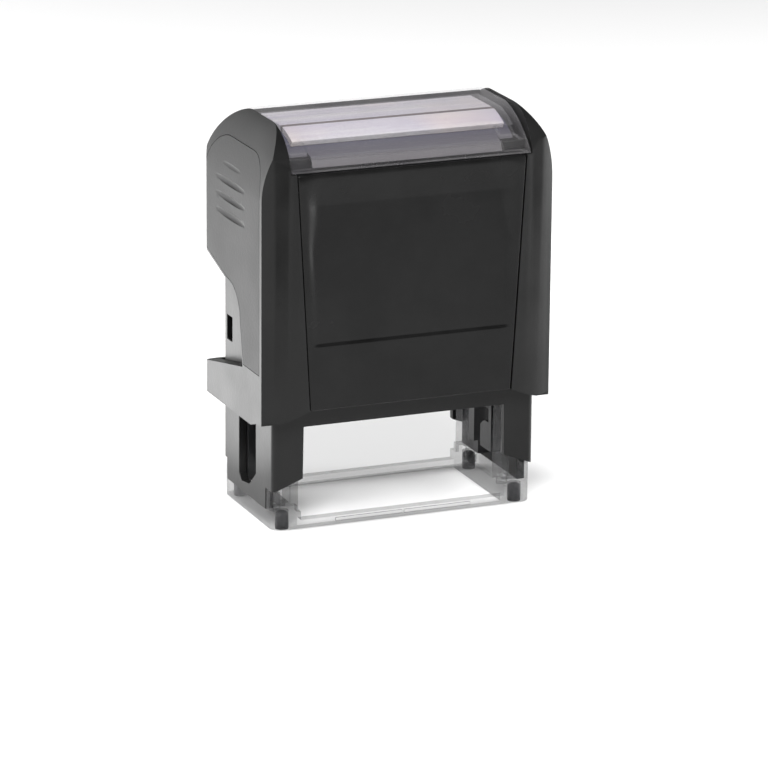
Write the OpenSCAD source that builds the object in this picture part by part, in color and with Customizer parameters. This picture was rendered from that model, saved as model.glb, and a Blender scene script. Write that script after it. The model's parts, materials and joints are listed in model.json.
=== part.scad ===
// Self-inking flip-over text stamp for a desk.
// All sizes in millimetres, +Z up, the front face looks towards -Y, stands on z = 0.

/* [Overall] */
// Width of the clear foot
base_width = 53; // [44:0.5:64]
// Depth of the clear foot
base_depth = 26.4; // [25.8:0.1:32]
// Height of the cap's top at rest
cap_top = 77.8; // [70:0.2:94]
// How far the cap is pressed down
travel = 12.6; // [10:0.1:12.7]

/* [Text plate] */
// Width of the text plate
plate_width = 38; // [20:1:39]
// Depth of the text plate
plate_depth = 14; // [8:0.5:14]
// Thickness of the plate with its raised face
plate_thick = 1.8; // [1.2:0.1:2.4]

/* [Walls] */
// Wall of the inner housing
housing_wall = 1.6; // [1.2:0.1:2]
// Thickness of a cap arm
arm_wall = 2.35; // [1.8:0.05:3]
// Sliding gap between the cap and the housing
slide_gap = 0.3; // [0.25:0.05:0.4]
// Width of each housing leg seen from the front
leg_width = 6.2; // [6:0.1:7]

/* [Mechanism] */
// Radius of the carrier's axle pins
pin_r = 1.2; // [0.9:0.1:1.5]
// Radius of the flip pegs
peg_r = 1.0; // [0.8:0.1:1.2]
// Wire thickness of the return spring
wire = 0.9; // [0.7:0.1:1.1]
// Turns of the return spring
turns = 9; // [6:1:10]

/* [Hidden] */
$fn = 64;
e = 0.01;
seam = 0.2;                                // gap line between two cap panels

// widths
hx = base_width / 2 + 0.15;                // outer face of the housing
ox = hx - leg_width;                       // half width of the stamping opening
ix = hx - housing_wall;                    // inner face of the side walls
ax = hx + slide_gap;                       // inner face of the arms
xo = ax + arm_wall;                        // outer face of the arms
wx = xo - 5.1;                             // half width between the shoulders
grip = 0.7;                                // depth of the grip pockets
gx = xo - grip;

// depths
hf = base_depth / 2 + 0.2;                 // housing front, at -hf
hr = base_depth / 2 - 0.4;                 // housing rear
hw = 1.4;                                  // housing front and rear wall
yf = hf + 3.2;                             // cap front, at -yf
yr = hr + 3.8;                             // cap rear
skin = 2.2;                                // cap panels

// heights
foot = 0.25;
rail = 1.9;
side_top = 3.6;
leg_out = 7.8;
leg_in = 10.1;
bar = 20.2;
collar = 20.3;
lift = 0.9;                                // lowest face of the plate when pressed
pad_z = 31.3;
reach = (pad_z - 1 - lift - travel) / 2;   // axle to plate face
pivot = pad_z - 1 - reach;                 // axle height at rest
roof = 38.2;
seat = roof + 1.6;
deck = cap_top - 7.8;
house_top = deck - travel - 1.9;
panel_top = cap_top - 8.4;
rear_low = 50.2;

// cap outline seen from the side
front_r = 10.5;
rear_r = 14.2;
shoulder_r = 21;
crown_r = 17.5;                            // the arms curve back from the front
crown_x = ox;                              // where that curve starts

// mechanism
peg_arm = travel / PI;                     // axle to peg: the peg then rolls on a cycloid
boss_r = 2.4;
carrier_x = ox - 1.05;                     // end of the carrier block
cam_in = ox + 0.35;
cam_out = cam_in + 2.2;
web_x = cam_out - 0.4;                     // web behind the slot of the side wall
spring_low = seat + 1.2;
spring_len = deck - 1.2 - spring_low;
coil_r = 4.2;
post_h = min(7, (spring_len - travel) / 2 - 0.6);

// window
win_r = 20;
win_y = -0.42;
win_z = cap_top - 20.28;
win_top = cap_top - 0.6;
win_crease = -4;
win_rear = 7.6;

// ---------- helpers ----------

// rectangle with round corners, centred
module rrect(w, d, r) {
  square([w - 2 * r, d], center = true);
  square([w, d - 2 * r], center = true);
  for (x = [-1, 1], y = [-1, 1]) translate([x * (w / 2 - r), y * (d / 2 - r)]) circle(r);
}

// box between two corners
module block(a, b) {
  translate(a) cube(b - a);
}

// draws once on each side
module both() {
  children();
  mirror([1, 0, 0]) children();
}

// side outline (y, z) carried along X from a to b
module along_x(a, b) {
  translate([a, 0, 0]) rotate([90, 0, 90]) linear_extrude(b - a) children();
}

// front outline (x, z) carried along Y from a to b
module along_y(a, b) {
  translate([0, b, 0]) rotate([90, 0, 0]) linear_extrude(b - a) children();
}

// ---------- cap outlines ----------

// side outline of the cap, g inside its skin, from z = low up
module side_2d(g, low) {
  fc = [front_r - yf, cap_top - front_r];
  rc = [yr - rear_r, cap_top - rear_r];
  translate([g - yf, low]) square([front_r - g + e, fc.y - low]);
  translate([fc.x, low]) square([rc.x - fc.x, cap_top - g - low]);
  translate([rc.x - e, low]) square([rear_r - g + e, rc.y - low]);
  translate(fc) circle(front_r - g);
  translate(rc) circle(rear_r - g);
}

// front outline of the cap, inset by g
module front_2d(g) {
  z = cap_top - 13.8;
  translate([g - xo, 0]) square([2 * (xo - g), z]);
  for (s = [-1, 1]) translate([s * (xo - shoulder_r), z]) circle(shoulder_r - g, $fn = 128);
}

// outline of the cap seen from above
module plan_2d() {
  intersection() {
    translate([0, (yr - yf) / 2]) rrect(2 * xo, yf + yr, 2.2);
    union() {
      translate([-crown_x, -yf]) square([2 * crown_x, yf]);
      both() translate([crown_x, crown_r - yf]) circle(crown_r, $fn = 128);
      translate([-xo - 1, crown_r - yf]) square([2 * xo + 2, 2 * yr]);
    }
  }
}

// full outer shape of the cap
module cap_shape(low) {
  intersection() {
    along_x(-xo - 1, xo + 1) side_2d(0, low);
    along_y(-yf - 1, yr + 1) front_2d(0);
    linear_extrude(cap_top + 1) plan_2d();
  }
}

// opening at the back of each arm, grown by g
module cut_2d(g) {
  r = 6.2 + g;
  c = [3.6, 38.9];
  translate(c) circle(r);
  polygon([[-4.4 - g, 30.4 - g], [c.x - r, c.y], c, [c.x, c.y + r], [yr + 4, 50.1 + g],
           [yr + 4, 25.4 - g]]);
}

// tapered front of the cap between its two columns, inset by g
module front_gate(g, top) {
  low = ox + 0.05 - g;
  high = low + 2.6 * (top - 24.1) / (panel_top - 24.1);
  polygon([[-low, 24.1], [low, 24.1], [high, top], [-high, top]]);
}

// outline of a grip, inset by g
module grip_2d(g) {
  f = g - 13.1;
  b = yr - 0.7 - g;
  low = 30.9 + g;
  top = cap_top - 5.4 - g;
  difference() {
    union() {
      translate([f, low]) square([7 - g, top - 7 + g - low]);
      translate([f + 7 - g, low]) square([b - f - 17 + 2 * g, top - low]);
      translate([b - 10 + g, low]) square([10 - g, top - 10 + g - low]);
      translate([f + 7 - g, top - 7 + g]) circle(7 - g);
      translate([b - 10 + g, top - 10 + g]) circle(10 - g);
    }
    cut_2d(0.5 + g);
  }
}

// ---------- stamp body ----------

module clear_base() {
  color([0.85, 0.87, 0.88, 0.35]) difference() {
    union() {
      difference() {
        translate([0, 0, foot]) linear_extrude(side_top - foot) rrect(base_width, base_depth, 2.2);
        block([-ox - 0.45, -20, rail], [ox + 0.45, 20, 9]);
        block([-ox - 0.45, 2 - base_depth / 2, -1], [ox + 0.45, base_depth / 2 - 1.8, 9]);
      }
      both() intersection() {
        translate([0, 0, foot]) linear_extrude(leg_out) rrect(base_width, base_depth, 2.2);
        union() {
          block([ix, -base_depth, side_top - 1], [hx, -9.6, leg_out - 0.1]);
          block([ix, 11.1, side_top - 1], [hx, base_depth, 6.1]);
          block([ox + 1.2, -base_depth, side_top - 1], [ix, 4.3 - base_depth / 2, 4.9]);
          block([ox + 1.2, base_depth / 2 - 4.3, side_top - 1], [ix, base_depth, 4.9]);
        }
      }
      both() {
        block([cam_in + 0.1, 0.4 + hw - hf, side_top - 1], [web_x - 0.2, -7.2, 20]);
        block([cam_in + 0.1, 7.2, side_top - 1], [web_x - 0.2, 10.6, 15]);
      }
    }
    both() for (y = [-1, 1]) translate([hx - 2.75, y * (base_depth / 2 - 2.3), -1]) cylinder(r = 1.3, h = 4.6);
    for (s = [-1, 1]) block([s * 7 - 6.8, -base_depth, 0.85], [s * 7 + 6.8, 0.5 - base_depth / 2, 1.5]);
    both() for (y = [-6, 8.8]) translate([hx - 3.2, y, 2]) cylinder(r = 1.1, h = 3);
  }
}

module rubber_feet() {
  color([0.1, 0.1, 0.1]) both() for (y = [-1, 1])
    translate([hx - 2.75, y * (base_depth / 2 - 2.3), 0]) cylinder(r = 1.25, h = 3.5);
}

// stamping opening of the front and rear walls, seen from the front
module mouth_2d() {
  polygon([[-ox, bar], [ox, bar], [ox + 0.15, leg_in], [hx + 1, leg_out - 0.4], [hx + 1, 0],
           [-hx - 1, 0], [-hx - 1, leg_out - 0.4], [-ox - 0.15, leg_in]]);
}

// slot in a side wall that lets the axle boss travel, seen from the side
module slot_2d() {
  low = pivot - travel - boss_r;
  polygon([[-4.4, 25.2], [4.4, 25.2], [4.4, low - 0.2], [3.2, low - 1.4], [-1, low - 0.8], [-4.4, low + 2.2]]);
}

module housing() {
  color([0.12, 0.12, 0.12]) difference() {
    intersection() {
      translate([0, (hr - hf) / 2, 0]) linear_extrude(house_top) rrect(2 * hx, hf + hr, 1.2);
      union() {
        both() block([ix, -hf, side_top], [hx, hr, house_top]);
        block([-hx, -hf, leg_out - 1], [hx, hw - hf, house_top]);
        block([-hx, hr - hw, leg_out - 1], [hx, hr, house_top]);
        block([-hx, -hf, roof], [hx, hr, seat]);
        block([-hx, -hf, house_top - 1.6], [hx, hr, house_top]);
        both() block([cam_out + 0.45, -hf, 29.6], [hx, hr, 31]);
      }
    }
    along_y(-hf - 1, -9.5) mouth_2d();
    along_y(11, hr + 1) mouth_2d();
    both() along_x(ix - 1, hx + 1) slot_2d();
    block([-ix, hr - 2, 31], [ix, hr + 2, 37.7]);
    both() block([ix - 1, 8, 31.6], [hx + 1, hr - 2, 36.4]);
    translate([0, 0, seat + e]) cylinder(r = 8, h = cap_top);
    for (s = [-1, 1], y = [-6, 6]) translate([s * 16, y, seat + e]) cylinder(r = 3, h = cap_top);
  }
}

// path of the flip peg for a carrier angle t, beside the axle, as (y, z)
function path(t) = [-peg_arm * sin(t), pivot - travel * t / 180 - peg_arm * cos(t)];
// unit normal of that path
function across(t) = let (d = path(t + 1) - path(t - 1)) [-d.y, d.x] / norm(d);

// strip of the groove between two carrier angles
module branch_2d(from, to) {
  w = peg_r + 0.3;
  polygon(concat([for (i = [0:10]) let (t = from + (to - from) * i / 10) path(t) + w * across(t)],
                 [for (i = [10:-1:0]) let (t = from + (to - from) * i / 10) path(t) - w * across(t)]));
}

// V-shaped groove that turns the carrier over
module groove_2d() {
  branch_2d(0, 82);
  branch_2d(98, 180);
  translate(path(90)) square(2 * peg_r + 0.8, center = true);
}

// open slot for the axle
module axle_slot_2d() {
  w = pin_r + 0.3;
  translate([-w, 0]) square([2 * w, pivot]);
  translate([0, pivot]) circle(w);
}

module cam_plate() {
  color([0.2, 0.2, 0.2]) difference() {
    union() {
      block([cam_in, -6.6, 8.6], [cam_out, 4, 28]);
      block([web_x, 3.6, 5.2], [ix, hr - hw, 28]);
      block([cam_in, -6.6, 26], [ix, 3.4, 28]);
    }
    along_x(cam_in - 1, cam_out + 1) axle_slot_2d();
    along_x(cam_in - 1, cam_out - 0.5) groove_2d();
  }
}

module cam_plate_left() {
  mirror([1, 0, 0]) cam_plate();
}

module cam_plate_right() {
  cam_plate();
}

module spring_post() {
  color([0.25, 0.25, 0.25]) {
    translate([0, 0, seat]) cylinder(r = 6.5, h = 1.2);
    translate([0, 0, seat + 1]) cylinder(r = coil_r - wire / 2 - 0.35, h = post_h + 0.2);
  }
}

// ---------- cap ----------

module cap_frame() {
  color([0.1, 0.1, 0.1]) difference() {
    union() {
      difference() {
        cap_shape(collar);
        block([-ax, skin - yf, 0], [ax, yr - skin, deck]);
        block([-wx, skin - yf, 0], [wx, yr + 1, cap_top + 1]);
        block([-wx, -yf - 1, panel_top + seam], [wx, skin - yf + e, cap_top + 1]);
        along_y(-yf - 1, skin - yf + e) front_gate(0, panel_top + 1);
        along_y(-yf - 1, skin - yf + e) polygon([[-xo - 1, 0], [-xo - 1, 22.4], [-26.2, 21.9], [-24.3, 22.5],
          [-ox, 24.1], [ox, 24.1], [24.3, 22.5], [26.2, 21.9], [xo + 1, 22.4], [xo + 1, 0]]);
        both() along_x(ax - 1, xo + 1) polygon([[-yf - 1, 0], [-yf - 1, 22.4], [1.8 - yf, 21.6],
          [5.2 - yf, 21.2], [8 - yf, collar - e], [8 - yf, 0]]);
        both() along_x(wx - 1, xo + 1) cut_2d(0);
      }
      block([-wx - 1, -12.7, deck], [wx + 1, 10.6, deck + 1.6]);
      both() translate([cam_out + 0.3, 0, pivot]) rotate([0, 90, 0]) cylinder(r = boss_r, h = ax - cam_out);
    }
    both() grip_pocket(0);
    both() translate([cam_out - 1, 0, pivot]) rotate([0, 90, 0]) cylinder(r = pin_r + 0.05, h = gx - cam_out + 0.6);
  }
}

// pocket of a grip, inset by g
module grip_pocket(g) {
  difference() {
    along_x(wx, xo + 1) grip_2d(g);
    along_y(-yf - 1, yr + 1) front_2d(grip);
  }
}

module front_panel() {
  color([0.09, 0.09, 0.09]) difference() {
    intersection() {
      along_x(-xo, xo) side_2d(0, collar);
      along_y(-yf - 1, skin - yf) front_gate(seam, panel_top);
    }
    // shallow dished field above the name strip
    intersection() {
      translate([0, -163.45 - yf, (37 + panel_top - 4) / 2]) rotate([0, 90, 0])
        cylinder(r = 164, h = 60, center = true, $fn = 360);
      along_y(-yf - 1, skin - yf) polygon([[-19.4, 30], [19.4, 30], [20.9, 68], [-20.9, 68]]);
    }
  }
}

module rear_panel() {
  color([0.1, 0.1, 0.1]) intersection() {
    cap_shape(rear_low);
    along_x(seam - wx, wx - seam) difference() {
      side_2d(0, rear_low);
      side_2d(skin, 0);
      translate([-40, 0]) square([win_rear + 0.3 + 40, cap_top + 1]);
    }
  }
}

module grip() {
  color([0.25, 0.25, 0.25]) difference() {
    intersection() {
      cap_shape(collar);
      grip_pocket(0.12);
    }
    // four lens-shaped finger grooves
    for (k = [0:3]) translate([xo + 65.4, 2, cap_top - 19.9 + 3.2 * k])
      rotate_extrude($fn = 180) translate([65, 0]) circle(0.85, $fn = 32);
  }
}

module left_grip() {
  mirror([1, 0, 0]) grip();
}

module right_grip() {
  grip();
}

// window outline t inside its outer face, open below
module window_2d(t, low) {
  intersection() {
    translate([win_y, win_z]) circle(win_r - t, $fn = 128);
    translate([-30, low]) square([30 + win_crease, cap_top]);
  }
  translate([win_crease - e, low]) square([win_rear - win_crease - t + e, win_top - t - low]);
}

module index_window() {
  color([0.85, 0.87, 0.9, 0.35]) difference() {
    union() {
      difference() {
        along_x(seam + 0.1 - wx, wx - seam - 0.1) window_2d(0, panel_top + 0.4);
        along_x(1.3 - wx, wx - 1.3) window_2d(1, 0);
      }
      // latch blocks behind the front corners
      both() for (z = [panel_top + 0.6, panel_top + 3]) intersection() {
        along_x(wx - 4.9, wx - 1.2) difference() {
          window_2d(0.9, z);
          window_2d(1.8, 0);
        }
        block([0, -20, z], [wx, -9, z + 1.5]);
      }
    }
    block([-wx, -13.1, 0], [wx, 20, deck + 1.7]);
  }
}

module card_tray() {
  color([0.35, 0.35, 0.37]) along_x(1.7 - wx, wx - 1.7) difference() {
    window_2d(2.4, deck + 1.6);
    translate([win_crease, win_top - 2.4]) square([20, 5]);
  }
}

module index_card() {
  color([0.95, 0.93, 0.93]) block([2.8 - wx, win_crease + 0.3, win_top - 2.4], [wx - 2.8, win_rear - 3, win_top - 2.1]);
}

module spring_cup() {
  color([0.25, 0.25, 0.25]) {
    translate([0, 0, deck - 1.2]) cylinder(r = 6.5, h = 1.2);
    translate([0, 0, deck - 1.4 - post_h]) cylinder(r = coil_r - wire / 2 - 0.35, h = post_h + 0.4);
  }
}

// round wire wound on a helix: level cuts through it are crescents
module return_spring() {
  pitch = (spring_len - wire) / turns;
  half = 180 * wire / pitch;
  n = 3;
  a = [for (i = [-n:n]) half * sin(90 * i / n)];
  function wide(t) = sqrt(max(0, 1 - pow(t / half, 2))) * wire / 2;
  outer = [for (t = a) (coil_r + wide(t)) * [cos(t), sin(t)]];
  inner = [for (i = [2 * n - 1:-1:1]) (coil_r - wide(a[i])) * [cos(a[i]), sin(a[i])]];
  color([0.7, 0.7, 0.72]) difference() {
    translate([0, 0, spring_low + wire / 2 - 0.2]) linear_extrude(spring_len - wire + 0.4,
      twist = -360 * (spring_len - wire + 0.4) / pitch, slices = 20 * turns, segments = 1) polygon(concat(outer, inner));
  }
}

// ---------- ink cartridge ----------

module cartridge_tray() {
  color([0.14, 0.14, 0.15]) difference() {
    block([-cam_out, 1.6 - hf + 0.3, pad_z], [cam_out, hr - 0.4, 37.2]);
    block([-ox - 0.2, -9, pad_z - 1], [ox + 0.2, 9, 36]);
  }
}

module cartridge_flange() {
  color([0.16, 0.16, 0.17]) both() block([cam_out, 1.9 - hf, pad_z], [ix - 0.5, hr - 0.4, pad_z + 1]);
}

module ink_pad() {
  color([0.25, 0.03, 0.05]) translate([0, 0, pad_z + 0.1]) linear_extrude(36 - pad_z - 0.1)
    rrect(2 * ox - 1.4, 16, 1);
}

module pad_frame() {
  color([0.3, 0.3, 0.3]) translate([0, 0, pad_z]) linear_extrude(1.2) difference() {
    square([2 * ox + 0.3, 17.9], center = true);
    rrect(2 * ox - 1.2, 16.2, 1);
  }
}

module cartridge_grip() {
  color([0.2, 0.2, 0.2]) {
    block([-14, hr - 0.4, pad_z + 0.4], [14, hr + 0.1, 36.9]);
    for (i = [-6:6]) block([2 * i - 0.4, hr, pad_z + 0.8], [2 * i + 0.4, hr + 0.6, 36.5]);
  }
}

// ---------- carrier ----------

module carrier_block() {
  top = pivot + reach - plate_thick - 1;
  hy = plate_depth / 2;
  color([0.15, 0.15, 0.15]) difference() {
    union() {
      along_x(-carrier_x, carrier_x) polygon([[-hy, top], [hy, top], [hy, pivot - 0.6], [hy - 2.6, pivot - 3.2],
        [2.6 - hy, pivot - 3.2], [-hy, pivot - 0.6]]);
      both() translate([carrier_x - 1, 0, pivot]) rotate([0, 90, 0]) cylinder(r = 2.6, h = 1.6);
      both() along_x(carrier_x - 2, carrier_x) translate([0, pivot - peg_arm]) circle(1.9);
    }
    along_x(2.2 - carrier_x, carrier_x - 2.2) polygon([[2 - hy, 0], [hy - 2, 0], [hy - 2, top - 1.6], [2 - hy, top - 1.6]]);
    both() translate([carrier_x - 3, 0, pivot]) rotate([0, 90, 0]) cylinder(r = pin_r, h = 5);
    both() translate([carrier_x - 3, 0, pivot - peg_arm]) rotate([0, 90, 0]) cylinder(r = peg_r, h = 5);
  }
}

module axle_pins() {
  color([0.7, 0.7, 0.72]) both() translate([carrier_x - 2.2, 0, pivot]) rotate([0, 90, 0])
    cylinder(r = pin_r, h = gx - carrier_x + 1.4);
}

module flip_pegs() {
  color([0.6, 0.6, 0.6]) both() translate([carrier_x - 2.2, 0, pivot - peg_arm]) rotate([0, 90, 0])
    cylinder(r = peg_r, h = cam_out - 0.8 - carrier_x + 2.2);
}

module foam_cushion() {
  color([0.5, 0.5, 0.48]) translate([0, 0, pivot + reach - plate_thick - 1]) linear_extrude(1)
    rrect(plate_width - 0.6, plate_depth - 0.4, 0.8);
}

// plate with a raised border and plain bars standing in for a text
module text_plate() {
  z = pivot + reach;
  w = plate_width;
  d = plate_depth;
  color([0.55, 0.2, 0.18]) {
    translate([0, 0, z - plate_thick]) linear_extrude(plate_thick - 0.8) rrect(w, d, 0.8);
    translate([0, 0, z - 0.81]) linear_extrude(0.81) {
      difference() {
        rrect(w - 1, d - 1, 0.8);
        rrect(w - 2.2, d - 2.2, 0.6);
      }
      for (k = [-1:1]) translate([k == 0 ? 0 : k * w / 16, k * d / 4.6]) square([w * (k == 0 ? 0.78 : 0.6), d / 9], center = true);
    }
  }
}

clear_base();
rubber_feet();
housing();
cam_plate_left();
cam_plate_right();
spring_post();
cap_frame();
front_panel();
rear_panel();
left_grip();
right_grip();
card_tray();
index_card();
index_window();
spring_cup();
return_spring();
cartridge_tray();
cartridge_flange();
ink_pad();
pad_frame();
cartridge_grip();
carrier_block();
axle_pins();
flip_pegs();
foam_cushion();
text_plate();
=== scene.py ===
import json
import math

import bmesh
import bpy
from mathutils import Matrix, Vector


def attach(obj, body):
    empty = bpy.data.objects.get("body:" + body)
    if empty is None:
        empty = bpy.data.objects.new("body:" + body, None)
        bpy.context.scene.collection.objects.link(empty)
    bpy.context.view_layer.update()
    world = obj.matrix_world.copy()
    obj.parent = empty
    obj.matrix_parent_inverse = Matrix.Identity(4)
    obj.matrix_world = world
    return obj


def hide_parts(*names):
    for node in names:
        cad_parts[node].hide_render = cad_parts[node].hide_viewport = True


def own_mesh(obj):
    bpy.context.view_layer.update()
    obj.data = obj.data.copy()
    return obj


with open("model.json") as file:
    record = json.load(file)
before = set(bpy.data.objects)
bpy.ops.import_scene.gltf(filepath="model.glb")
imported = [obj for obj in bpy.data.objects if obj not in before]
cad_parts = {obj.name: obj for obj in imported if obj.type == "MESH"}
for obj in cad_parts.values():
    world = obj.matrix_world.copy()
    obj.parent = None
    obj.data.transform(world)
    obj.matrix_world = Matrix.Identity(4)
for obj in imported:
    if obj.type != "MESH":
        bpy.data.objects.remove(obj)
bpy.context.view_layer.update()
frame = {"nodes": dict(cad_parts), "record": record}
nodes = frame["nodes"]
mm = 0.001
print("frame loaded:", len(nodes), "nodes")


# materials: every pattern runs on object coordinates, depths are in metres

def newMaterial(name):
    mat = bpy.data.materials.new(name)
    mat.use_nodes = True
    tree = mat.node_tree
    shader = tree.nodes["Principled BSDF"]
    coords = tree.nodes.new("ShaderNodeTexCoord")
    return mat, tree, shader, coords


def addNoise(tree, coords, scale, detail=3.0, roughness=0.5, stretch=None):
    noise = tree.nodes.new("ShaderNodeTexNoise")
    noise.inputs["Scale"].default_value = scale
    noise.inputs["Detail"].default_value = detail
    noise.inputs["Roughness"].default_value = roughness
    if stretch:
        mapping = tree.nodes.new("ShaderNodeMapping")
        mapping.inputs["Scale"].default_value = stretch
        tree.links.new(coords.outputs["Object"], mapping.inputs["Vector"])
        tree.links.new(mapping.outputs["Vector"], noise.inputs["Vector"])
    else:
        tree.links.new(coords.outputs["Object"], noise.inputs["Vector"])
    return noise.outputs["Fac"]


def splitPlace(tree, coords):
    split = tree.nodes.new("ShaderNodeSeparateXYZ")
    tree.links.new(coords.outputs["Object"], split.inputs["Vector"])
    return split


def ramp(tree, source, low, high, fromLow=0.35, fromHigh=0.65):
    node = tree.nodes.new("ShaderNodeMapRange")
    node.inputs["From Min"].default_value = fromLow
    node.inputs["From Max"].default_value = fromHigh
    node.inputs["To Min"].default_value = low
    node.inputs["To Max"].default_value = high
    tree.links.new(source, node.inputs["Value"])
    return node.outputs["Result"]


def mixColours(tree, factor, first, second):
    # first is a colour or the output of an earlier mix
    mix = tree.nodes.new("ShaderNodeMix")
    mix.data_type = "RGBA"
    if isinstance(first, tuple):
        mix.inputs["A"].default_value = (*first, 1)
    else:
        tree.links.new(first, mix.inputs["A"])
    mix.inputs["B"].default_value = (*second, 1)
    tree.links.new(factor, mix.inputs["Factor"])
    return mix.outputs["Result"]


def addBump(tree, shader, height, distance, strength):
    bump = tree.nodes.new("ShaderNodeBump")
    bump.inputs["Distance"].default_value = distance
    bump.inputs["Strength"].default_value = strength
    tree.links.new(height, bump.inputs["Height"])
    tree.links.new(bump.outputs["Normal"], shader.inputs["Normal"])


mouldSet = {"cloud": 90, "cloudDetail": 4, "grainDetail": 2, "smoother": 0.03, "rougher": 0.04, "bump": 0.5}


def mouldedPlastic(name, dark, light, roughness, grain, grainDepth, specular):
    p = mouldSet
    mat, tree, shader, coords = newMaterial(name)
    cloud = addNoise(tree, coords, p["cloud"], p["cloudDetail"])
    fine = addNoise(tree, coords, grain, p["grainDetail"])
    tint = mixColours(tree, ramp(tree, cloud, 0, 1), dark, light)
    tree.links.new(tint, shader.inputs["Base Color"])
    worn = ramp(tree, cloud, roughness - p["smoother"], roughness + p["rougher"])
    tree.links.new(worn, shader.inputs["Roughness"])
    addBump(tree, shader, fine, grainDepth, p["bump"])
    shader.inputs["Specular IOR Level"].default_value = specular
    return mat


clearSet = {
    "cloud": 120, "cloudDetail": 3, "wave": 260, "waveDetail": 2, "waveDepth": 0.00002, "bump": 0.35,
    "smoother": 0.7, "rougher": 1.4, "ior": 1.46, "square": 0.3, "grazing": 0.95,
}


def clearPlastic(name, dark, light, roughness, thin, rim):
    # see-through where it faces the eye, denser where it is seen along its walls
    p = clearSet
    mat, tree, shader, coords = newMaterial(name)
    cloud = addNoise(tree, coords, p["cloud"], p["cloudDetail"])
    wave = addNoise(tree, coords, p["wave"], p["waveDetail"])
    tint = mixColours(tree, ramp(tree, cloud, 0, 1), dark, light)
    tree.links.new(tint, shader.inputs["Base Color"])
    worn = ramp(tree, cloud, roughness * p["smoother"], roughness * p["rougher"])
    tree.links.new(worn, shader.inputs["Roughness"])
    addBump(tree, shader, wave, p["waveDepth"], p["bump"])
    facing = tree.nodes.new("ShaderNodeLayerWeight").outputs["Facing"]
    density = ramp(tree, facing, thin, rim, p["square"], p["grazing"])
    tree.links.new(density, shader.inputs["Alpha"])
    shader.inputs["IOR"].default_value = p["ior"]
    return mat


wireSet = {
    "streak": 900, "streakDetail": 2, "stretch": (1, 1, 0.2), "dark": (0.42, 0.42, 0.43),
    "light": (0.62, 0.62, 0.63), "smooth": 0.2, "rough": 0.36, "depth": 0.00001, "bump": 0.3,
}


def steelWire(name):
    p = wireSet
    mat, tree, shader, coords = newMaterial(name)
    streak = addNoise(tree, coords, p["streak"], p["streakDetail"], stretch=p["stretch"])
    tint = mixColours(tree, ramp(tree, streak, 0, 1), p["dark"], p["light"])
    tree.links.new(tint, shader.inputs["Base Color"])
    tree.links.new(ramp(tree, streak, p["smooth"], p["rough"]), shader.inputs["Roughness"])
    shader.inputs["Metallic"].default_value = 1.0
    addBump(tree, shader, streak, p["depth"], p["bump"])
    return mat


feltSet = {
    "fibre": 2600, "fibreDetail": 5, "fibreRoughness": 0.7, "patch": 160, "patchDetail": 3,
    "dark": (0.30, 0.012, 0.012), "light": (0.46, 0.03, 0.025), "smooth": 0.55, "rough": 0.85,
    "sheen": 0.2, "depth": 0.0002, "bump": 0.8,
}


def inkedFelt(name):
    p = feltSet
    mat, tree, shader, coords = newMaterial(name)
    fibre = addNoise(tree, coords, p["fibre"], p["fibreDetail"], p["fibreRoughness"])
    patch = addNoise(tree, coords, p["patch"], p["patchDetail"])
    tint = mixColours(tree, ramp(tree, patch, 0, 1), p["dark"], p["light"])
    tree.links.new(tint, shader.inputs["Base Color"])
    tree.links.new(ramp(tree, fibre, p["smooth"], p["rough"]), shader.inputs["Roughness"])
    shader.inputs["Sheen Weight"].default_value = p["sheen"]
    addBump(tree, shader, fibre, p["depth"], p["bump"])
    return mat


foamSet = {
    "cells": 2200, "wall": 0.8, "dark": (0.16, 0.16, 0.17), "light": (0.30, 0.30, 0.31),
    "roughness": 0.9, "depth": 0.00025, "bump": 0.7,
}


def cellFoam(name):
    p = foamSet
    mat, tree, shader, coords = newMaterial(name)
    cells = tree.nodes.new("ShaderNodeTexVoronoi")
    cells.inputs["Scale"].default_value = p["cells"]
    tree.links.new(coords.outputs["Object"], cells.inputs["Vector"])
    shade = ramp(tree, cells.outputs["Distance"], 0, 1, 0.0, p["wall"])
    tree.links.new(mixColours(tree, shade, p["dark"], p["light"]), shader.inputs["Base Color"])
    shader.inputs["Roughness"].default_value = p["roughness"]
    addBump(tree, shader, cells.outputs["Distance"], p["depth"], p["bump"])
    return mat


cardLook = {
    "fibre": 1500, "fibreDetail": 4, "fibreRoughness": 0.6,
    "paperDark": (0.52, 0.505, 0.52), "paperLight": (0.60, 0.585, 0.60),
    "streak": 42, "streakDetail": 3, "streakRoughness": 0.6, "stretch": (0.35, 9, 9),
    "lavender": (0.40, 0.36, 0.46), "lavenderMost": 0.8,
    "cloud": 38, "cloudDetail": 2, "cloudFrom": 0.5, "cloudTo": 0.7,
    "warm": (0.78, 0.62, 0.50), "warmMost": 0.45,
    # the dark line colour below is painted shade where the card bends under the crease
    "foldY": -0.0040, "foldHalf": 0.00055, "paintedFoldShade": (0.10, 0.075, 0.08),
    "roughness": 0.55, "depth": 0.00003, "bump": 0.4,
}


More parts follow.
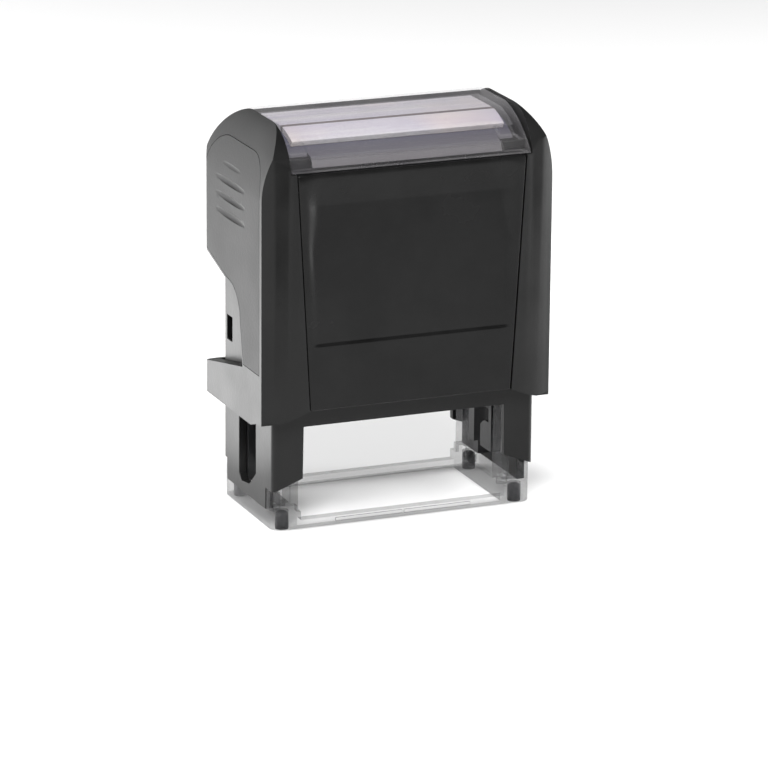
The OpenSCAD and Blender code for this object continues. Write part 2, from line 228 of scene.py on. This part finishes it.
def cardStock(name):
    # pale card with lavender streaks and warm clouds, and painted shade: a dark line where the card bends
    # under the window's crease
    p = cardLook
    mat, tree, shader, coords = newMaterial(name)
    fibre = addNoise(tree, coords, p["fibre"], p["fibreDetail"], p["fibreRoughness"])
    streak = addNoise(tree, coords, p["streak"], p["streakDetail"], p["streakRoughness"], p["stretch"])
    cloud = addNoise(tree, coords, p["cloud"], p["cloudDetail"])
    paper = mixColours(tree, ramp(tree, fibre, 0, 1), p["paperDark"], p["paperLight"])
    tinted = mixColours(tree, ramp(tree, streak, 0, p["lavenderMost"]), paper, p["lavender"])
    glow = ramp(tree, cloud, 0, p["warmMost"], p["cloudFrom"], p["cloudTo"])
    warmed = mixColours(tree, glow, tinted, p["warm"])
    # painted shade: a thin dark line at foldY, where the card bends under the crease
    paintedFoldShade = tree.nodes.new("ShaderNodeMath")
    paintedFoldShade.operation = "COMPARE"
    paintedFoldShade.inputs[1].default_value = p["foldY"]
    paintedFoldShade.inputs[2].default_value = p["foldHalf"]
    tree.links.new(splitPlace(tree, coords).outputs["Y"], paintedFoldShade.inputs[0])
    tree.links.new(mixColours(tree, paintedFoldShade.outputs["Value"], warmed, p["paintedFoldShade"]), shader.inputs["Base Color"])
    shader.inputs["Roughness"].default_value = p["roughness"]
    addBump(tree, shader, fibre, p["depth"], p["bump"])
    return mat


trayLook = {
    # high is painted shade, the colour the tray takes at the top of the slope
    "cloud": 60, "cloudDetail": 3, "low": (0.13, 0.122, 0.13), "lowShade": (0.105, 0.10, 0.11),
    "high": (0.03, 0.03, 0.07), "shadeFrom": 0.0712, "shadeTo": 0.0745, "smooth": 0.38, "rough": 0.5,
    "grain": 1200, "grainDetail": 2, "depth": 0.00003, "bump": 0.4,
}


def trayPlastic(name):
    # mid grey, with painted shade that turns it to a dark blue violet towards the top of the slope
    p = trayLook
    mat, tree, shader, coords = newMaterial(name)
    # painted shade: the colour darkens from low to high up the slope
    height = ramp(tree, splitPlace(tree, coords).outputs["Z"], 0, 1, p["shadeFrom"], p["shadeTo"])
    cloud = addNoise(tree, coords, p["cloud"], p["cloudDetail"])
    low = mixColours(tree, ramp(tree, cloud, 0, 1), p["low"], p["lowShade"])
    tree.links.new(mixColours(tree, height, low, p["high"]), shader.inputs["Base Color"])
    tree.links.new(ramp(tree, cloud, p["smooth"], p["rough"]), shader.inputs["Roughness"])
    addBump(tree, shader, addNoise(tree, coords, p["grain"], p["grainDetail"]), p["depth"], p["bump"])
    return mat


# moulded: dark, light, roughness, grain, grain depth, specular
# clear: dark, light, roughness, density square on, density along a wall
finishes = {
    "black_gloss": mouldedPlastic(
        "satin black shell", (0.006, 0.006, 0.006), (0.009, 0.009, 0.009), 0.36, 1400, 0.00003, 0.22),
    "grip_plastic": mouldedPlastic(
        "matte grey grip", (0.014, 0.014, 0.014), (0.019, 0.019, 0.019), 0.52, 1800, 0.00006, 0.2),
    "inner_plastic": mouldedPlastic(
        "black inner moulding", (0.008, 0.008, 0.009), (0.013, 0.013, 0.014), 0.45, 1200, 0.00004, 0.35),
    "tray_plastic": trayPlastic("grey card tray"),
    "rubber": mouldedPlastic(
        "soft dark rubber", (0.020, 0.020, 0.022), (0.035, 0.035, 0.037), 0.75, 2400, 0.00008, 0.3),
    "plate_rubber": mouldedPlastic(
        "grey plate rubber", (0.20, 0.19, 0.19), (0.26, 0.25, 0.25), 0.62, 2000, 0.00006, 0.35),
    "clear_plastic": clearPlastic(
        "clear moulded plastic", (0.05, 0.05, 0.052), (0.085, 0.085, 0.088), 0.14, 0.13, 0.55),
    "steel": steelWire("drawn spring wire"),
    "pad_felt": inkedFelt("inked pad felt"),
    "foam": cellFoam("cushion foam"),
    "card": cardStock("index card stock"),
}
panelGloss = mouldedPlastic(
    "gloss black panel", (0.005, 0.005, 0.005), (0.008, 0.008, 0.008), 0.24, 900, 0.00002, 0.17)
windowPlastic = clearPlastic(
    "clear window plastic", (0.32, 0.31, 0.33), (0.44, 0.43, 0.44), 0.07, 0.045, 0.33)
print("finishes made:", len(finishes) + 2)

slotOf = {row["node"]: row["material_slot"] for row in frame["record"]["subparts"]}
for name, node in nodes.items():
    node.data.materials.clear()
    node.data.materials.append(finishes[slotOf[name]])


# shared steps for the pieces

def addPiece(name, mesh, material, body, standsFor=()):
    data = bpy.data.meshes.new(name)
    mesh.to_mesh(data)
    mesh.free()
    data.materials.append(material)
    piece = bpy.data.objects.new(name, data)
    bpy.context.scene.collection.objects.link(piece)
    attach(piece, body)
    if standsFor:
        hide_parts(*standsFor)
    return piece


def softenEdges(piece, width, segments, angle):
    bevel = piece.modifiers.new("soft edges", "BEVEL")
    bevel.width = width * mm
    bevel.segments = segments
    bevel.limit_method = "ANGLE"
    bevel.angle_limit = math.radians(angle)
    bevel.harden_normals = False


def cutCells(mesh, step):
    # even cells keep the shading of a groove close to the groove
    for axis in (1, 2):
        places = [v.co[axis] for v in mesh.verts]
        place = min(places) + step
        normal = Vector([axis == i for i in range(3)])
        while place < max(places):
            everything = mesh.verts[:] + mesh.edges[:] + mesh.faces[:]
            bmesh.ops.bisect_plane(mesh, geom=everything, dist=1e-7, plane_co=normal * place, plane_no=normal)
            place += step


# merge distance in metres, the rest in degrees
refineSet = {"merge": 2e-6, "flat": 1, "sharp": 30, "bevelFrom": 35}


def refine(name, p, material):
    # the CAD shape with merged corners, smooth curves and soft edges
    mesh = bmesh.new()
    mesh.from_mesh(nodes[p["source"]].data)
    bmesh.ops.remove_doubles(mesh, verts=mesh.verts, dist=refineSet["merge"])
    flat = math.radians(refineSet["flat"])
    bmesh.ops.dissolve_limit(mesh, angle_limit=flat, verts=mesh.verts, edges=mesh.edges)
    if "cells" in p:
        cutCells(mesh, p["cells"] * mm)
    for face in mesh.faces:
        face.smooth = True
    sharp = math.radians(refineSet["sharp"])
    for edge in mesh.edges:
        edge.smooth = len(edge.link_faces) == 2 and edge.calc_face_angle(math.pi) < sharp
    piece = addPiece(name, mesh, material, p["body"], [p["source"]])
    softenEdges(piece, p["edge"], p["segments"], refineSet["bevelFrom"])


# cap

capShellSet = {"source": "cap_frame", "body": "cap", "slot": "black_gloss", "edge": 0.4, "segments": 3}
leftGripSet = {
    "source": "left_grip", "body": "cap", "slot": "grip_plastic", "edge": 0.2, "segments": 2, "cells": 0.9,
}
rightGripSet = {**leftGripSet, "source": "right_grip"}
backPanelSet = {"source": "rear_panel", "body": "cap", "slot": "black_gloss", "edge": 0.25, "segments": 2}
refine("cap_shell", capShellSet, finishes["black_gloss"])
refine("left_side_grip", leftGripSet, finishes["grip_plastic"])
refine("right_side_grip", rightGripSet, finishes["grip_plastic"])
refine("back_panel", backPanelSet, finishes["black_gloss"])
print("cap shell and grips made")

panelSet = {
    "low": 24.1, "high": 69.4, "face": -16.6, "back": -14.45,
    "halfLow": 20.3, "halfHigh": 22.9,                       # half width at the low and the high end
    "crownRound": 17.5, "crownFrom": 20.45,                  # sides curve back with the arms
    "topRound": 10.5, "roundFrom": 67.3,                     # top curves back under the window
    "ledge": 36.5, "ledgeRise": 0.28, "ledgeDepth": 0.2,     # step above the name strip
    "dishDepth": 1.25, "dishFall": 1.6, "bandLow": 63.2, "bandHigh": 69.0,
    "rim": 0.9, "sideEase": 1.7, "cornerEase": 3.4, "cornerFrom": 54, "cornerFade": 9,
    "columns": 110, "rows": 160, "sharp": 45, "edge": 0.22, "segments": 2, "bevelFrom": 50,
}


def ease(t):
    t = min(1.0, max(0.0, t))
    return t * t * (3 - 2 * t)


def panelHalf(z):
    p = panelSet
    return p["halfLow"] + (p["halfHigh"] - p["halfLow"]) * (z - p["low"]) / (p["high"] - p["low"])


def panelDepth(x, z):
    p = panelSet
    if z < p["ledge"]:
        return 0.0
    corner = ease((z - p["cornerFrom"]) / p["cornerFade"])
    width = p["sideEase"] + (p["cornerEase"] - p["sideEase"]) * corner
    side = ease((panelHalf(z) - abs(x) - p["rim"]) / width)
    ledge = ease((z - p["ledge"]) / p["ledgeRise"]) * p["ledgeDepth"]
    fall = max(0.0, (z - p["ledge"]) / (p["bandLow"] - p["ledge"]))
    depth = ledge + (p["dishDepth"] - p["ledgeDepth"]) * min(1.0, fall) ** p["dishFall"]
    band = ease((p["bandHigh"] - z) / (p["bandHigh"] - p["bandLow"]))
    return depth * side * band


def makeFrontPanel():
    p = panelSet
    mesh = bmesh.new()
    bmesh.ops.create_grid(mesh, x_segments=p["columns"], y_segments=p["rows"], size=0.5)
    for vert in mesh.verts:
        z = p["low"] + (p["high"] - p["low"]) * (vert.co.y + 0.5)
        x = vert.co.x * 2 * panelHalf(z)
        over = max(0.0, z - p["roundFrom"])
        curve = p["topRound"] - math.sqrt(p["topRound"] ** 2 - over ** 2)
        out = max(0.0, abs(x) - p["crownFrom"])
        curve += p["crownRound"] - math.sqrt(p["crownRound"] ** 2 - out ** 2)
        vert.co = Vector((x, p["face"] + curve + panelDepth(x, z), z)) * mm
    grown = bmesh.ops.extrude_face_region(mesh, geom=mesh.faces[:])
    for item in grown["geom"]:
        if isinstance(item, bmesh.types.BMVert):
            item.co.y = p["back"] * mm
    bmesh.ops.recalc_face_normals(mesh, faces=mesh.faces)
    for face in mesh.faces:
        face.smooth = True
    for edge in mesh.edges:
        if len(edge.link_faces) == 2 and edge.calc_face_angle(0) > math.radians(p["sharp"]):
            edge.smooth = False
    piece = addPiece("dished_front_panel", mesh, panelGloss, "cap", ["front_panel"])
    softenEdges(piece, p["edge"], p["segments"], p["bevelFrom"])


makeFrontPanel()
print("front panel made")

# index window with the card and the tray under it

windowSet = {"source": "index_window", "body": "window", "slot": "clear_plastic", "edge": 0.25, "segments": 3}
refine("clear_window", windowSet, windowPlastic)

cardSet = {
    "half": 21.4, "arcY": -0.42, "arcZ": 57.52, "outer": 18.85, "inner": 17.62, "crease": -4.0, "rear": 6.5,
    "frontTurn": 62.0, "steps": 14, "top": 76.03, "under": 74.82,
    "columns": 40, "edge": 0.12, "segments": 2, "bevelFrom": 50,
}
lipSet = {
    "half": 19.1, "columns": 40, "edge": 0.15, "segments": 2, "bevelFrom": 50,
    "outline": [(-10.95, 71.62), (-13.15, 71.62), (-13.15, 69.95), (-13.95, 69.95), (-13.45, 71.1),
                (-12.55, 71.95), (-10.95, 72.5)],
}


def extrudeOutline(outline, half, columns):
    # side outline in Y and Z carried along X in even steps
    mesh = bmesh.new()
    ring = [mesh.verts.new(Vector((-half, y, z)) * mm) for y, z in outline]
    ends = [mesh.faces.new(ring)]
    step = Vector((2 * half / columns * mm, 0, 0))
    for _ in range(columns):
        grown = bmesh.ops.extrude_face_region(mesh, geom=ends)
        ends = [g for g in grown["geom"] if isinstance(g, bmesh.types.BMFace)]
        moved = [g for g in grown["geom"] if isinstance(g, bmesh.types.BMVert)]
        bmesh.ops.translate(mesh, verts=moved, vec=step)
    bmesh.ops.recalc_face_normals(mesh, faces=mesh.faces)
    return mesh


def cardArc(radius):
    # front edge of the card up to the crease, at one radius
    p = cardSet
    last = math.degrees(math.acos((p["arcY"] - p["crease"]) / radius))
    arc = []
    for i in range(p["steps"] + 1):
        turn = math.radians(p["frontTurn"] + (last - p["frontTurn"]) * i / p["steps"])
        arc.append((p["arcY"] - radius * math.cos(turn), p["arcZ"] + radius * math.sin(turn)))
    return arc


def makeCard():
    p = cardSet
    rear = [(p["rear"], p["top"]), (p["rear"], p["under"])]
    outline = cardArc(p["outer"]) + rear + cardArc(p["inner"])[::-1]
    mesh = extrudeOutline(outline, p["half"], p["columns"])
    piece = addPiece("wrapped_index_card", mesh, finishes["card"], "cap", ["index_card"])
    softenEdges(piece, p["edge"], p["segments"], p["bevelFrom"])


def makeTrayLip():
    p = lipSet
    mesh = extrudeOutline(p["outline"], p["half"], p["columns"])
    piece = addPiece("card_tray_lip", mesh, finishes["tray_plastic"], "cap")
    softenEdges(piece, p["edge"], p["segments"], p["bevelFrom"])


makeCard()
makeTrayLip()
print("index window, card and tray lip made")

# stamp body

housingSet = {"source": "housing", "body": "stamp_body", "slot": "black_gloss", "edge": 0.25, "segments": 3}
footSet = {"source": "clear_base", "body": "stamp_body", "slot": "clear_plastic", "edge": 0.2, "segments": 3}
refine("inner_housing", housingSet, finishes["black_gloss"])
refine("clear_foot", footSet, finishes["clear_plastic"])

plugSet = {
    "x": 23.9, "y": 10.9, "radius": 1.25, "tall": 3.4, "sides": 40,
    "dome": 0.75, "domeSteps": 6, "rimBand": 0.1,
}


def makePlugs():
    p = plugSet
    mesh = bmesh.new()
    for sideX in (-1, 1):
        for sideY in (-1, 1):
            made = bmesh.ops.create_cone(mesh, cap_ends=True, segments=p["sides"], radius1=p["radius"] * mm,
                                         radius2=p["radius"] * mm, depth=p["tall"] * mm)
            place = Vector((sideX * p["x"], sideY * p["y"], p["tall"] / 2)) * mm
            bmesh.ops.translate(mesh, verts=made["verts"], vec=place)
    nearTop = (p["tall"] - p["rimBand"]) * mm
    rims = [e for e in mesh.edges if min(v.co.z for v in e.verts) > nearTop]
    bmesh.ops.bevel(mesh, geom=rims, offset=p["dome"] * mm, affect="EDGES", segments=p["domeSteps"],
                    profile=0.5, material=-1)
    for face in mesh.faces:
        face.smooth = True
    addPiece("corner_plugs", mesh, finishes["rubber"], "stamp_body", ["rubber_feet"])


makePlugs()

springSet = {
    "low": 41.0, "long": 27.8, "coil": 4.2, "wire": 0.9, "turns": 9, "steps": 40, "sides": 14, "travel": 12.6,
}


def makeSpring():
    p = springSet
    mesh = bmesh.new()
    made = bmesh.ops.create_circle(mesh, segments=p["sides"], radius=p["wire"] / 2 * mm, cap_ends=True)
    bmesh.ops.rotate(mesh, verts=made["verts"], matrix=Matrix.Rotation(math.radians(90), 3, "X"))
    start = Vector((p["coil"], 0, p["low"] + p["wire"] / 2)) * mm
    bmesh.ops.translate(mesh, verts=made["verts"], vec=start)
    steps = p["turns"] * p["steps"]
    climb = Vector((0, 0, (p["long"] - p["wire"]) / steps * mm))
    bmesh.ops.spin(mesh, geom=mesh.verts[:] + mesh.edges[:] + mesh.faces[:], cent=(0, 0, 0), dvec=climb,
                   axis=(0, 0, 1), angle=math.radians(360 * p["turns"]), steps=steps, use_duplicate=False)
    bmesh.ops.remove_doubles(mesh, verts=mesh.verts, dist=1e-7)
    bmesh.ops.recalc_face_normals(mesh, faces=mesh.faces)
    for face in mesh.faces:
        face.smooth = len(face.verts) == 4
    piece = addPiece("coiled_return_spring", mesh, finishes["steel"], "stamp_body",
                     ["return_spring"])
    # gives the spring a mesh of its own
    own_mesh(piece)


makeSpring()
print("stamp body and spring made")

# floor, light and camera

floorSet = {"size": 6.0, "shade": (0.9, 0.9, 0.9), "roughness": 0.8}
floorMesh = bmesh.new()
bmesh.ops.create_grid(floorMesh, x_segments=1, y_segments=1, size=floorSet["size"] / 2)
floorData = bpy.data.meshes.new("floor")
floorMesh.to_mesh(floorData)
floorMesh.free()
floor = bpy.data.objects.new("floor", floorData)
floorMaterial, _, floorShader, _ = newMaterial("plain pale floor")
floorShader.inputs["Base Color"].default_value = (*floorSet["shade"], 1)
floorShader.inputs["Roughness"].default_value = floorSet["roughness"]
floorData.materials.append(floorMaterial)
bpy.context.scene.collection.objects.link(floor)

worldSet = {"shade": (1, 1, 1), "strength": 0.12}
world = bpy.data.worlds.new("studio")
bpy.context.scene.world = world
world.use_nodes = True
backdrop = world.node_tree.nodes["Background"]
backdrop.inputs["Color"].default_value = (*worldSet["shade"], 1)
backdrop.inputs["Strength"].default_value = worldSet["strength"]

# metres and watts
softboxes = {
    "key softbox": {"place": (-0.25, -0.6, 0.75), "target": (0, 0, 0.03), "size": (0.5, 0.5), "power": 12},
    "side softbox": {"place": (-0.62, 0.36, 0.22), "target": (0, 0, 0.04), "size": (0.7, 0.6), "power": 12},
    "right softbox": {"place": (0.6, -0.06, 0.14), "target": (0, 0, 0.05), "size": (0.3, 0.26), "power": 5},
    "left floor glow": {"place": (-0.085, 0.13, 0.002), "target": (-0.085, 0.13, 1), "size": (0.1, 0.22),
                        "power": 0.2},
}


def addSoftbox(name, p):
    light = bpy.data.lights.new(name, "AREA")
    light.shape = "RECTANGLE"
    light.size, light.size_y = p["size"]
    light.energy = p["power"]
    lamp = bpy.data.objects.new(name, light)
    aim = Vector(p["target"]) - Vector(p["place"])
    facing = aim.to_track_quat("-Z", "Y").to_matrix().to_4x4()
    lamp.matrix_world = Matrix.Translation(p["place"]) @ facing
    lamp.visible_camera = False
    bpy.context.scene.collection.objects.link(lamp)


for name, row in softboxes.items():
    addSoftbox(name, row)

# angles in degrees, lens and sensor in millimetres, the rest in metres
cameraSet = {
    "lens": 223.2, "sensor": 36, "near": 0.01, "turn": 22.58, "rise": 16.66, "roll": 0.478,
    "far": 0.9092, "aim": (0.00126, 0, 0.02255),
}
turn, rise = math.radians(cameraSet["turn"]), math.radians(cameraSet["rise"])
back = Vector((-math.sin(turn) * math.cos(rise), -math.cos(turn) * math.cos(rise), math.sin(rise)))
right = (-back).cross(Vector((0, 0, 1))).normalized()
up = right.cross(-back)
roll = math.radians(cameraSet["roll"])
rolledRight = right * math.cos(roll) + up * math.sin(roll)
rolledUp = up * math.cos(roll) - right * math.sin(roll)
lens = bpy.data.cameras.new("camera")
lens.lens = cameraSet["lens"]
lens.sensor_width = cameraSet["sensor"]
lens.clip_start = cameraSet["near"]
camera = bpy.data.objects.new("camera", lens)
facing = Matrix((rolledRight, rolledUp, back)).transposed().to_4x4()
camera.matrix_world = Matrix.Translation(Vector(cameraSet["aim"]) + back * cameraSet["far"]) @ facing
bpy.context.scene.collection.objects.link(camera)
bpy.context.scene.camera = camera
bpy.context.scene.view_settings.view_transform = "Standard"
print("stage, lights and camera set")
